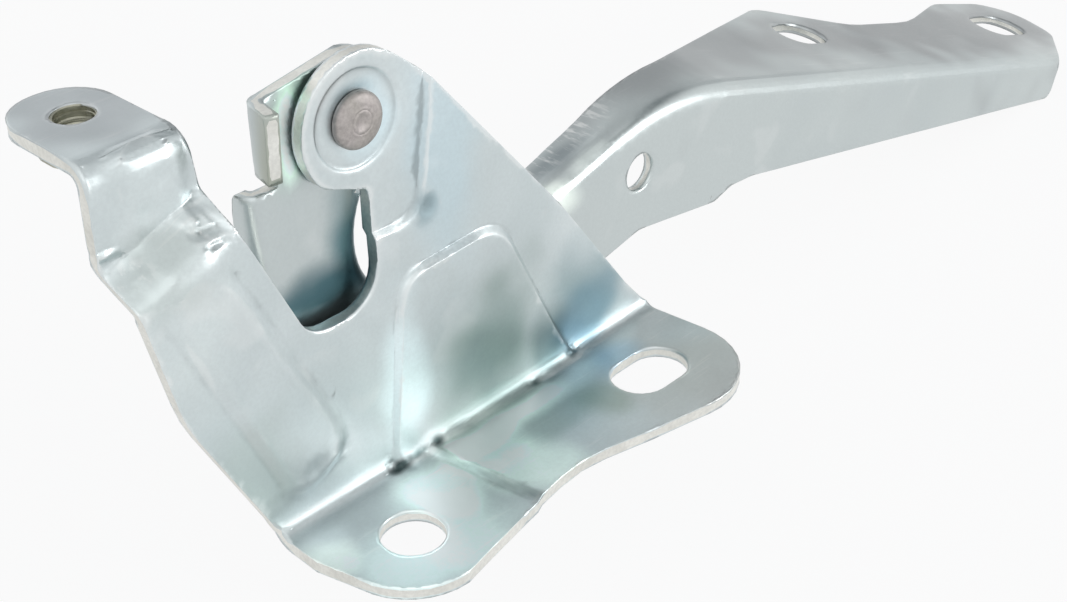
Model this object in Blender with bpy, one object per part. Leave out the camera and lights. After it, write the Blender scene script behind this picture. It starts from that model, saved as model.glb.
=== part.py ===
# Bonnet hinge: a stamped body bracket, a gooseneck bonnet arm and the riveted pivot that joins them.
# Sizes are in millimetres and turn into metres in to_mesh. The drawing frame has x along the bracket's
# fold from its left end, y from the base flange towards the web, z up from the base flange's top face.

import itertools
import math

import bmesh
import bpy
from mathutils import Vector
from mathutils.geometry import delaunay_2d_cdt

MM = 0.001
WELD = 0.03

# Clearances
SEAT_GAP = 0.15
RUNNING_GAP = 0.1

# Facets along round shapes and bends
ROUND_SEGMENTS = 48
FOLD_SEGMENTS = 6
BEND_SEGMENTS = 5
NUT_SEGMENTS = 24
SHEET_SMOOTH = 20.0

# Body bracket: sheet, fold, and how far raised shapes take to fade out at the fold
BRACKET_T = 2.5
FOLD_R = 3.0
FADE = 6.0
FOLD_LEFT = -0.4
FOLD_RIGHT = 98.2
FOLD_END = 0.6
LINE_MARGIN = 8.0

# Base flange: body bolt holes, the lobes round them and the waist between
BASE_HOLE_R = 6.0
ROUND_HOLE = (15.7, -16.8)
SLOT_HOLE = (80.6, -16.2)
SLOT_HOLE_TRAVEL = 2.8
LEFT_LOBE_R = 14.4
RIGHT_LOBE_R = 16.3
BASE_LEFT = (-0.7, -10.0)
WAIST_LEFT = (33.0, -27.8, 20.0)
WAIST = (50.0, -25.2, 30.0)
WAIST_RIGHT = (66.0, -29.2, 60.0)

# The base flange's right half seats a little higher than its left half
RISE = 0.8
RISE_FOOT = (33.6, 0.0)
RISE_TOE = (37.4, -28.0)
RISE_RAMP = 1.5

# Pivot, the lobe that carries it, and the shoulder from the lobe down to the fold
PIVOT = (24.9, 71.1)
LOBE_CENTRE = (PIVOT[0] + 0.8, PIVOT[1] - 0.7)
LOBE_R = 12.4
SHOULDER = ((39.7, 74.9, 20.0), (72.0, 36.4, 40.0))
COIN_R = 8.7
COIN_RAMP = 0.4
COIN_DEPTH = 0.5
PAD_DEPTH = 1.0
PAD_RAMP = 1.2
PAD_CORNERS = ((7.0, 50.0), (36.2, 48.8, 5.0), (43.0, 96.0), (7.0, 96.0))

# Stop notch between the lobe and the left leg
NOTCH_RIGHT = PIVOT[0] + 1.5
NOTCH_TOP = PIVOT[1] - 13.4
NOTCH_BOTTOM = 35.9
NOTCH_LEFT = 10.6
NOTCH_TOP_R = 1.8
NOTCH_RIGHT_R = 8.0
NOTCH_LEFT_R = 6.5
LOBE_FOOT = (PIVOT[0] - 8.5, PIVOT[1] - 9.5, 8.0)

# Left leg and the tab folded off its top
LEG_LEFT = -22.0
LEG_RIGHT = -2.8
LEG_NECK = 72.0
LEG_KNEE = (-1.8, 63.0, 10.0)
LEG_HIP = 61.0
LEG_HIP_R = 20.0
LEG_SHIN = (-15.6, 31.5, 34.0)
TAB_TOP = 78.3
TAB_R = 4.5
TAB_ROOT = 13.0
TAB_ROOT_R = 10.0
TAB_END = 34.4
TAB_END_R = 8.7
TAB_LEFT = -21.6
TAB_RIGHT = -4.0
TAB_HOLE = (-12.3, 24.1)
TAB_HOLE_R = 3.7

# Joggle that sets the leg's top back
JOGGLE_DEPTH = 7.5
JOGGLE_R_OUT = 3.5
JOGGLE_R_IN = 1.6
JOGGLE_ANGLE = math.radians(57)
JOGGLE_START = (-22.0, 52.6)
JOGGLE_TILT = math.radians(21)

# Raised panel in the web: its foot crosses the fold
PANEL_HEIGHT = 1.2
PANEL_RAMP = 1.2
PANEL_FOOT_LEFT = 25.8
PANEL_FOOT_RIGHT = 78.4
PANEL_TOP_RIGHT = (55.2, 39.0, 8.0)
PANEL_TOP_LEFT = (31.2, 38.0, 5.0)

# Bead along the left leg, up into the tab bend
BEAD_HEIGHT = 1.0
BEAD_RAMP = 2.4
BEAD_FOOT_LEFT = (5.4, 5.6, 4.0)
BEAD_FOOT_RIGHT = (15.2, 11.8, 4.0)
BEAD_KNEE_RIGHT = (-6.6, 56.5, 8.0)
BEAD_KNEE_LEFT = (-15.0, 53.5, 8.0)
BEAD_TOP_RIGHT = -6.4
BEAD_TOP_LEFT = -15.6
BEAD_END = 9.0
BEAD_END_R = 3.5

# Bonnet arm: sheet, and the gap to the bracket's pad that the front washer fills
ARM_T = 2.6
ARM_GAP = 0.8
ARM_BEND_R = 4.0
OUTER_BEND_R = 3.4
OUTER_TRIM = 0.4

# Gooseneck: head, neck arc, rise to the crest and fall along the lever
HEAD_R = 11.1
ARM_LEFT = 7.4
NECK_CENTRE = (44.2, 45.3)
NECK_INNER_R = 21.0
RISE_SLOPE = 0.25
FALL_SLOPE = -0.3007
CREST = (111.5, 40.5)
CREST_R = 60.0
CREASE_END = 284.5
END_SLANT = 4.0
ARM_HOLE = (101.1, 29.4)
ARM_HOLE_R = 4.1
LOWER_EDGE = ((91.2, 13.8, 14.0), (101.2, 15.8, 8.0), (126.6, 11.8, 4.0),
              (132.5, 13.4, 5.0), (140.0, 12.8, 8.0))
LEVER_TOE = (281.5, -19.4, 3.5)

# Outer flange round the neck, with a relief where it stops at each end
OUTER_FLANGE_DEPTH = 4.6
OUTER_FLANGE_ANGLE = 284.0
OUTER_STARTS = (0.0, 1.0, 3.5)
RELIEF_TOP = 66.8
RELIEF_BOTTOM = 63.2
RELIEF_DEPTH = 0.8
END_RELIEF = 2.5

# Stop lip folded forward off the head
LIP_ROOT = 9.6
LIP_TOP = 79.4
LIP_FRONT = -1.5
LIP_TAPER = 1.1
LIP_LEAN = math.radians(12)
LIP_BEND_R = 0.8

# Bonnet flange: lean, width along the arm, outline of its free edge, and its two slots
FLANGE_LEAN = math.radians(9.7)
NECK_FLANGE_Y = 12.3
NECK_FLANGE_DROP = 1.1
FLANGE_WIDTHS = ((50.0, NECK_FLANGE_Y), (81.0, 12.9), (97.0, 15.9), (122.0, 18.5), (133.0, 21.8))
FLANGE_TIP = ((306.0, 18.2, 9.0), (308.6, 32.0, 10.0), (298.0, 39.0, 14.0))
FLANGE_EDGE = ((273.0, 39.8, 20.0), (243.0, 29.5, 40.0), (214.0, 29.2, 25.0), (186.0, 40.0, 10.0))
FLANGE_SLOT_1 = (186.7, 26.1)
FLANGE_SLOT_1_R = 5.4
FLANGE_SLOT_1_TRAVEL = 2.4
FLANGE_SLOT_2 = (285.0, 25.1)
FLANGE_SLOT_2_R = 6.1
FLANGE_SLOT_2_TRAVEL = 4.2

# Rivet: spun front head with a dimple, domed rear head
SHANK_R = 4.0
FRONT_HEAD_R = 5.1
FRONT_HEAD_T = 1.6
FRONT_DOME = 0.35
HEAD_EDGE = 0.7
HEAD_CROWN = 1.2
HEAD_DIMPLE_R = 1.7
HEAD_DIMPLE_FLOOR_R = 1.2
HEAD_DIMPLE_DEPTH = 0.25
REAR_HEAD_R = 7.5
REAR_HEAD_T = 3.4

# Bush, washers and weld nut
BUSH_WALL = 1.4
WASHER_R = 9.0
REAR_WASHER_T = 1.5
NUT_ACROSS_FLATS = 12.0
NUT_HEIGHT = 3.8
NUT_BORE_R = 3.4
NUT_CHAMFER = 0.6

# Planes that follow from the stack
PAD_FACE = PAD_DEPTH
COIN_FACE = PAD_FACE + COIN_DEPTH
PAD_BACK = PAD_FACE + BRACKET_T
ARM_FACE = PAD_BACK + ARM_GAP
ARM_BACK = ARM_FACE + ARM_T

# World origin: on the seat under the base flange, between the round hole and the fold
ORIGIN_MARGIN = 4.3
ORIGIN = (ROUND_HOLE[0], ROUND_HOLE[1] + BASE_HOLE_R + ORIGIN_MARGIN, -BRACKET_T)


# Plane geometry

def arc(centre, radius, start, end, steps):
    """Points on a circle from one angle to another, in degrees."""
    points = []
    for i in range(steps + 1):
        angle = math.radians(start + (end - start) * i / steps)
        points.append((centre[0] + radius * math.cos(angle), centre[1] + radius * math.sin(angle)))
    return points


def fillet(before, corner, after, radius, step=12.0):
    """The arc that rounds one corner of an outline."""
    a = (before[0] - corner[0], before[1] - corner[1])
    b = (after[0] - corner[0], after[1] - corner[1])
    la, lb = math.hypot(*a), math.hypot(*b)
    ua, ub = (a[0] / la, a[1] / la), (b[0] / lb, b[1] / lb)
    opening = math.acos(max(-1.0, min(1.0, ua[0] * ub[0] + ua[1] * ub[1])))
    reach = min(radius / math.tan(opening / 2), 0.48 * la, 0.48 * lb)
    radius = reach * math.tan(opening / 2)
    mid = (ua[0] + ub[0], ua[1] + ub[1])
    lm = math.hypot(*mid)
    far = math.hypot(reach, radius)
    centre = (corner[0] + mid[0] / lm * far, corner[1] + mid[1] / lm * far)
    first = math.atan2(corner[1] + ua[1] * reach - centre[1], corner[0] + ua[0] * reach - centre[0])
    last = math.atan2(corner[1] + ub[1] * reach - centre[1], corner[0] + ub[0] * reach - centre[0])
    turn = (last - first + math.pi) % (2 * math.pi) - math.pi
    steps = max(2, round(abs(math.degrees(turn)) / step))
    return arc(centre, radius, math.degrees(first), math.degrees(first + turn), steps)


def rounded(corners, closed=True):
    """An outline from (x, y) or (x, y, radius) corners."""
    points = []
    count = len(corners)
    for i, corner in enumerate(corners):
        at_end = not closed and i in (0, count - 1)
        if len(corner) == 2 or at_end:
            points.append(corner[:2])
        else:
            before = corners[i - 1][:2]
            after = corners[(i + 1) % count][:2]
            points.extend(fillet(before, corner[:2], after, corner[2]))
    return points


def slot(centre, radius, travel, direction=(1.0, 0.0), steps=12):
    """A slotted hole, its half travel along the direction."""
    angle = math.degrees(math.atan2(direction[1], direction[0]))
    dx, dy = direction[0] * travel, direction[1] * travel
    right = arc((centre[0] + dx, centre[1] + dy), radius, angle - 90, angle + 90, steps)
    left = arc((centre[0] - dx, centre[1] - dy), radius, angle + 90, angle + 270, steps)
    return right + left


def circle(centre, radius, steps=ROUND_SEGMENTS):
    return arc(centre, radius, 0, 360, steps)[:-1]


def inside(point, outline):
    """True where a point lies inside a closed outline."""
    x, y = point
    hit = False
    for (x1, y1), (x2, y2) in zip(outline, outline[1:] + outline[:1]):
        if (y1 > y) != (y2 > y) and x < (x2 - x1) * (y - y1) / (y2 - y1) + x1:
            hit = not hit
    return hit


def distance(point, outline):
    """Distance from a point to a closed outline."""
    x, y = point
    best = math.inf
    for (x1, y1), (x2, y2) in zip(outline, outline[1:] + outline[:1]):
        dx, dy = x2 - x1, y2 - y1
        length = dx * dx + dy * dy
        t = max(0.0, min(1.0, ((x - x1) * dx + (y - y1) * dy) / length)) if length else 0.0
        best = min(best, math.hypot(x - x1 - t * dx, y - y1 - t * dy))
    return best


def grown(outline, amount):
    """The outline moved outwards by an amount; it must run anticlockwise."""
    result = []
    for before, here, after in zip(outline[-1:] + outline[:-1], outline, outline[1:] + outline[:1]):
        dx, dy = after[0] - before[0], after[1] - before[1]
        length = math.hypot(dx, dy)
        result.append((here[0] + dy / length * amount, here[1] - dx / length * amount))
    return result


def along(points, x):
    """Height of a polyline of (x, value) points at x."""
    if x <= points[0][0]:
        return points[0][1]
    for (x1, v1), (x2, v2) in zip(points, points[1:]):
        if x <= x2:
            return v1 + (v2 - v1) * (x - x1) / (x2 - x1)
    return points[-1][1]


def triangles(outline, holes, lines):
    """Triangles of a flat sheet with holes, split along the given lines."""
    points, edges = [], []

    def add(path, closed):
        start = len(points)
        points.extend(path)
        for i in range(len(path) - 1):
            edges.append((start + i, start + i + 1))
        if closed:
            edges.append((start + len(path) - 1, start))

    add(outline, True)
    for hole in holes:
        add(hole, True)
    for line in lines:
        add(line, False)
    points2, _, faces, _, _, _ = delaunay_2d_cdt(points, edges, [], 0, 1e-5)
    kept = []
    for face in faces:
        cx = sum(points2[i][0] for i in face) / 3
        cy = sum(points2[i][1] for i in face) / 3
        if inside((cx, cy), outline) and not any(inside((cx, cy), hole) for hole in holes):
            kept.append(face)
    return points2, kept


# Sheet metal: a front surface with its own normals, thickened backwards

class Sheet:
    def __init__(self):
        self.front = []
        self.back = []
        self.faces = []
        self.index = {}

    def vertex(self, front, back):
        """The vertex at a front point, shared by patches that meet there."""
        cell = [math.floor(c / WELD) for c in front]
        for shift in itertools.product((0, -1, 1), repeat=3):
            near = self.index.get(tuple(c + s for c, s in zip(cell, shift)))
            if near is not None and math.dist(self.front[near], front) < WELD:
                return near
        self.index[tuple(cell)] = len(self.front)
        self.front.append(front)
        self.back.append(back)
        return len(self.front) - 1

    def flat(self, outline, holes, lines, place):
        """A patch drawn flat; place turns a flat point into its front and back points."""
        points, faces = triangles(outline, holes, lines)
        used = {i: self.vertex(*place(points[i][0], points[i][1])) for face in faces for i in face}
        for face in faces:
            corners = [used[i] for i in face]
            if len(set(corners)) == 3:
                self.faces.append(self.outward(corners))

    def outward(self, face):
        """The face wound so that its front side looks away from the sheet's back."""
        a, b, c = (Vector(self.front[i]) for i in face[:3])
        normal = (b - a).cross(c - b)
        lift = sum((Vector(self.front[i]) - Vector(self.back[i]) for i in face), Vector())
        return face if normal.dot(lift) > 0 else face[::-1]

    def strip(self, rows):
        """A patch of rows of (front, back) points."""
        grid = [[self.vertex(*pair) for pair in row] for row in rows]
        for low, high in zip(grid, grid[1:]):
            for i in range(len(low) - 1):
                corners = [low[i], low[i + 1], high[i + 1], high[i]]
                face = [c for k, c in enumerate(corners) if c != corners[k - 1]]
                if len(face) > 2:
                    self.faces.append(self.outward(face))

    def solid(self):
        """The closed solid: front, back and the cut edge between them."""
        count = len(self.front)
        directed = {}
        for face in self.faces:
            for a, b in zip(face, face[1:] + face[:1]):
                directed[(a, b)] = True
        faces = [list(face) for face in self.faces]
        faces += [[i + count for i in reversed(face)] for face in self.faces]
        for a, b in directed:
            if (b, a) not in directed:
                faces.append([b, a, a + count, b + count])
        return self.front + self.back, faces


# Turning geometry into objects

def material(name, colour, roughness, metallic=1.0):
    result = bpy.data.materials.new(name)
    result.use_nodes = True
    shader = result.node_tree.nodes["Principled BSDF"]
    shader.inputs["Base Color"].default_value = (*colour, 1.0)
    shader.inputs["Roughness"].default_value = roughness
    shader.inputs["Metallic"].default_value = metallic
    result.diffuse_color = (*colour, 1.0)
    return result


def to_mesh(name, points, faces, finish, parent, centre=(0.0, 0.0, 0.0), smooth_angle=30.0):
    """A named object from drawing-frame points, with its origin at the given centre."""
    mesh = bpy.data.meshes.new(name)
    local = [[(p[k] - centre[k]) * MM for k in range(3)] for p in points]
    mesh.from_pydata(local, [], faces)
    work = bmesh.new()
    work.from_mesh(mesh)
    bmesh.ops.recalc_face_normals(work, faces=work.faces)
    work.to_mesh(mesh)
    work.free()
    mesh.materials.append(finish)
    mesh.shade_smooth()
    mesh.set_sharp_from_angle(angle=math.radians(smooth_angle))
    part = bpy.data.objects.new(name, mesh)
    part.location = [c * MM for c in centre]
    part.parent = parent
    bpy.context.collection.objects.link(part)
    return part


def turned(profile, centre, segments=ROUND_SEGMENTS):
    """A solid turned about a y axis from (radius, y) points; a closed ring where no radius is 0."""
    points, faces, rings = [], [], []
    for radius, y in profile:
        if radius == 0.0:
            rings.append([len(points)] * segments)
            points.append((centre[0], y, centre[1]))
        else:
            rings.append(list(range(len(points), len(points) + segments)))
            for x, z in circle(centre, radius, segments):
                points.append((x, y, z))
    pairs = list(zip(rings, rings[1:]))
    if profile[0][0] > 0.0:
        pairs.append((rings[-1], rings[0]))
    for low, high in pairs:
        for i in range(segments):
            j = (i + 1) % segments
            face = [low[i], low[j], high[j], high[i]]
            face = [c for k, c in enumerate(face) if c != face[k - 1]]
            if len(face) > 2:
                faces.append(face)
    return points, faces


# Body bracket

def joggle(u, v):
    """How far the left leg is set back, by two opposite bends along a tilted line."""
    slope, depth = math.tan(JOGGLE_ANGLE), JOGGLE_DEPTH
    rise = 1 - math.cos(JOGGLE_ANGLE)
    run_out = JOGGLE_R_OUT * math.sin(JOGGLE_ANGLE)
    run_in = JOGGLE_R_IN * math.sin(JOGGLE_ANGLE)
    run_mid = (depth - (JOGGLE_R_OUT + JOGGLE_R_IN) * rise) / slope
    if u > NOTCH_LEFT - LINE_MARGIN:
        return 0.0
    w = (v - JOGGLE_START[1]) * math.cos(JOGGLE_TILT) - (u - JOGGLE_START[0]) * math.sin(JOGGLE_TILT)
    if w <= 0:
        return 0.0
    if w < run_out:
        return JOGGLE_R_OUT - math.sqrt(JOGGLE_R_OUT ** 2 - w ** 2)
    w -= run_out
    if w < run_mid:
        return JOGGLE_R_OUT * rise + w * slope
    w -= run_mid
    if w < run_in:
        left = run_in - w
        return depth - JOGGLE_R_IN + math.sqrt(JOGGLE_R_IN ** 2 - left ** 2)
    return depth


def joggle_lines():
    """Lines across the left leg where the joggle's slope changes."""
    rise = 1 - math.cos(JOGGLE_ANGLE)
    stops = [JOGGLE_R_OUT * math.sin(JOGGLE_ANGLE * k / 3) for k in range(4)]
    top = stops[-1] + (JOGGLE_DEPTH - (JOGGLE_R_OUT + JOGGLE_R_IN) * rise) / math.tan(JOGGLE_ANGLE)
    run_in = JOGGLE_R_IN * math.sin(JOGGLE_ANGLE)
    stops += [top + run_in - JOGGLE_R_IN * math.sin(JOGGLE_ANGLE * (3 - k) / 3) for k in range(4)]
    along_line = (math.cos(JOGGLE_TILT), math.sin(JOGGLE_TILT))
    across = (-math.sin(JOGGLE_TILT), math.cos(JOGGLE_TILT))
    lines = []
    for stop in stops:
        start = (JOGGLE_START[0] + across[0] * stop, JOGGLE_START[1] + across[1] * stop)
        low, high = -LINE_MARGIN, LEG_RIGHT - LEG_LEFT + LINE_MARGIN
        lines.append([(start[0] + along_line[0] * s, start[1] + along_line[1] * s) for s in (low, high)])
    return lines


def fold_point(u, v):
    """The bracket's front surface before embossing: base flange, fold, web, joggle and tab."""
    if v < -FOLD_R:
        return u, v, 0.0
    if v < FOLD_R:
        angle = (v / FOLD_R + 1) * math.pi / 4
        return u, -FOLD_R + FOLD_R * math.sin(angle), FOLD_R - FOLD_R * math.cos(angle)
    if u > NOTCH_LEFT - LINE_MARGIN:
        return u, 0.0, v
    start = TAB_TOP - TAB_R
    if v < start:
        return u, joggle(u, v), v
    angle = min((v - start) / (2 * TAB_R), 1.0) * math.pi / 2
    straight = max(v - start - 2 * TAB_R, 0.0)
    y = JOGGLE_DEPTH + TAB_R * (1 - math.cos(angle)) + straight
    return u, y, start + TAB_R * math.sin(angle)


def fold_normal(u, v):
    """Unit normal of the front surface, from its two slopes."""
    step = 0.02
    a, b = fold_point(u - step, v), fold_point(u + step, v)
    c, d = fold_point(u, v - step), fold_point(u, v + step)
    du = [q - p for p, q in zip(a, b)]
    dv = [q - p for p, q in zip(c, d)]
    n = (du[1] * dv[2] - du[2] * dv[1], du[2] * dv[0] - du[0] * dv[2], du[0] * dv[1] - du[1] * dv[0])
    length = math.sqrt(sum(c * c for c in n))
    return [c / length for c in n]


def tab_v(y):
    """Flat height of a place on the tab at depth y."""
    return TAB_TOP + y - JOGGLE_DEPTH


def bracket_outline():
    """The bracket cut flat: base flange below v = 0, web and tab above."""
    left_lobe = arc(ROUND_HOLE, LEFT_LOBE_R, 188, 268, 8)
    slot_right = (SLOT_HOLE[0] + SLOT_HOLE_TRAVEL, SLOT_HOLE[1])
    right_lobe = arc(slot_right, RIGHT_LOBE_R, 258, 366, 10)
    waist = rounded([left_lobe[-1], WAIST_LEFT, WAIST, WAIST_RIGHT, right_lobe[0]], closed=False)[1:-1]
    base = [(FOLD_LEFT, FOLD_END), BASE_LEFT] + left_lobe + waist + right_lobe + [(FOLD_RIGHT, FOLD_END)]
    lobe = arc(LOBE_CENTRE, LOBE_R, 48, 208, 18)
    shoulder = rounded([(FOLD_RIGHT, FOLD_END), *reversed(SHOULDER), lobe[0]], closed=False)[1:-1]
    notch = rounded([
        lobe[-1],
        LOBE_FOOT,
        (NOTCH_RIGHT, NOTCH_TOP, NOTCH_TOP_R),
        (NOTCH_RIGHT, NOTCH_BOTTOM, NOTCH_RIGHT_R),
        (NOTCH_LEFT, NOTCH_BOTTOM, NOTCH_LEFT_R),
        LEG_KNEE,
        (LEG_RIGHT, LEG_NECK),
    ], closed=False)[1:]
    tab = rounded([
        (LEG_RIGHT, LEG_NECK),
        (TAB_RIGHT, tab_v(TAB_ROOT), TAB_ROOT_R),
        (TAB_RIGHT, tab_v(TAB_END), TAB_END_R),
        (TAB_LEFT, tab_v(TAB_END), TAB_END_R),
        (TAB_LEFT, tab_v(TAB_ROOT), TAB_ROOT_R),
        (LEG_LEFT, LEG_HIP, LEG_HIP_R),
        LEG_SHIN,
        (FOLD_LEFT, FOLD_END),
    ], closed=False)[1:-1]
    return base + shoulder + lobe + notch + tab


def panel_outline():
    foot = -FADE - FOLD_R
    return rounded([(PANEL_FOOT_LEFT, foot), (PANEL_FOOT_RIGHT, foot), PANEL_TOP_RIGHT, PANEL_TOP_LEFT])


def bead_outline():
    return rounded([
        BEAD_FOOT_LEFT, BEAD_FOOT_RIGHT, BEAD_KNEE_RIGHT, (BEAD_TOP_RIGHT, tab_v(BEAD_END), BEAD_END_R),
        (BEAD_TOP_LEFT, tab_v(BEAD_END), BEAD_END_R), BEAD_KNEE_LEFT])


def raised(point, outline, ramp):
    """Share of an emboss's height at a point: 1 on its top, 0 beyond its ramp."""
    if inside(point, outline):
        return 1.0
    return max(0.0, 1.0 - distance(point, outline) / ramp)


def rise_share(u, v):
    """Share of the base flange's rise: 0 left of its line, 1 right of it."""
    (x1, y1), (x2, y2) = RISE_FOOT, RISE_TOE
    line_u = x1 + (x2 - x1) * (min(v, 0.0) - y1) / (y2 - y1)
    return max(0.0, min(1.0, (u - line_u) / RISE_RAMP + 0.5))


def body_bracket(finish, parent):
    outline = bracket_outline()
    panel, bead, pad = panel_outline(), bead_outline(), rounded(PAD_CORNERS)
    holes = [
        circle(ROUND_HOLE, BASE_HOLE_R, 32),
        slot(SLOT_HOLE, BASE_HOLE_R, SLOT_HOLE_TRAVEL),
        circle(PIVOT, SHANK_R + SEAT_GAP),
        circle((TAB_HOLE[0], tab_v(TAB_HOLE[1])), TAB_HOLE_R, 32),
    ]
    left, right = LEG_LEFT - LINE_MARGIN, FOLD_RIGHT + LINE_MARGIN
    levels = [FOLD_R * (2 * k / FOLD_SEGMENTS - 1) for k in range(FOLD_SEGMENTS + 1)]
    lines = [[(left, v), (right, v)] for v in levels + [-FOLD_R - FADE, FOLD_R + FADE]]
    lines += joggle_lines()
    levels = [TAB_TOP - TAB_R + 2 * TAB_R * k / FOLD_SEGMENTS for k in range(FOLD_SEGMENTS + 1)]
    lines += [[(left, v), (LEG_RIGHT + LINE_MARGIN / 2, v)] for v in levels]
    for shape, ramp in ((panel, PANEL_RAMP), (bead, BEAD_RAMP), (pad, PAD_RAMP)):
        lines.append(shape + shape[:1])
        lines.append(grown(shape, ramp) + grown(shape, ramp)[:1])
    for radius in (COIN_R, COIN_R + COIN_RAMP):
        lines.append(circle(PIVOT, radius) + [(PIVOT[0] + radius, PIVOT[1])])
    for shift in (-RISE_RAMP / 2, RISE_RAMP / 2):
        lines.append([(RISE_FOOT[0] + shift, FOLD_R + FADE), (RISE_FOOT[0] + shift, RISE_FOOT[1]),
                      (RISE_TOE[0] + shift, RISE_TOE[1])])

    def place(u, v):
        n = fold_normal(u, v)
        front = list(fold_point(u, v))
        lift = BEAD_HEIGHT * raised((u, v), bead, BEAD_RAMP)
        front = [f + lift * c for f, c in zip(front, n)]
        fade_low = max(0.0, min(1.0, 1 + (v + FOLD_R) / FADE))
        fade_high = max(0.0, min(1.0, 1 + (FOLD_R - v) / FADE))
        front[1] -= PANEL_HEIGHT * raised((u, v), panel, PANEL_RAMP) * fade_low
        front[1] += PAD_DEPTH * raised((u, v), pad, PAD_RAMP)
        front[2] += RISE * rise_share(u, v) * fade_high
        back = [f - BRACKET_T * c for f, c in zip(front, n)]
        if math.hypot(u - PIVOT[0], v - PIVOT[1]) < COIN_R + COIN_RAMP / 2:
            front[1] += COIN_DEPTH
        return tuple(front), tuple(back)

    sheet = Sheet()
    sheet.flat(outline, holes, lines, place)
    points, faces = sheet.solid()
    return to_mesh("body_bracket", points, faces, finish, parent, smooth_angle=SHEET_SMOOTH)


# Bonnet arm

def crease_path():
    """The inner fold line of the arm's web: round the neck, up the rise, over the crest, down the lever."""
    rise_angle = math.degrees(math.atan(RISE_SLOPE))
    neck = arc(NECK_CENTRE, NECK_INNER_R, 150, 270 + rise_angle, 18)
    end = (CREASE_END, CREST[1] + FALL_SLOPE * (CREASE_END - CREST[0]))
    crest = fillet(neck[-1], CREST, end, CREST_R, step=3.5)
    return neck, crest, end


def directions(path):
    """Unit direction of a path at each of its points."""
    result = []
    for i in range(len(path)):
        a, b = path[max(i - 1, 0)], path[min(i + 1, len(path) - 1)]
        length = math.hypot(b[0] - a[0], b[1] - a[1])
        result.append(((b[0] - a[0]) / length, (b[1] - a[1]) / length))
    return result


def bent_row(point, side, lean, edge_y, radius=ARM_BEND_R):
    """One row across a bend away from the web: out to the side, then back to depth edge_y."""
    turn = math.pi / 2 - lean
    row = []
    for k in range(BEND_SEGMENTS + 1):
        angle = turn * k / BEND_SEGMENTS
        out = radius * math.sin(angle)
        deep = radius * (1 - math.cos(angle))
        row.append((out, deep, math.sin(angle), math.cos(angle)))
    straight = (edge_y - ARM_FACE - row[-1][1]) / math.sin(turn)
    out, deep = row[-1][:2]
    row.append((out + straight * math.cos(turn), deep + straight * math.sin(turn),
                math.sin(turn), math.cos(turn)))
    pairs = []
    for out, deep, outward, forward in row:
        front = (point[0] + side[0] * out, ARM_FACE + deep, point[1] + side[1] * out)
        back = (front[0] - side[0] * outward * ARM_T, front[1] + forward * ARM_T,
                front[2] - side[1] * outward * ARM_T)
        pairs.append((front, back))
    return pairs


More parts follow.
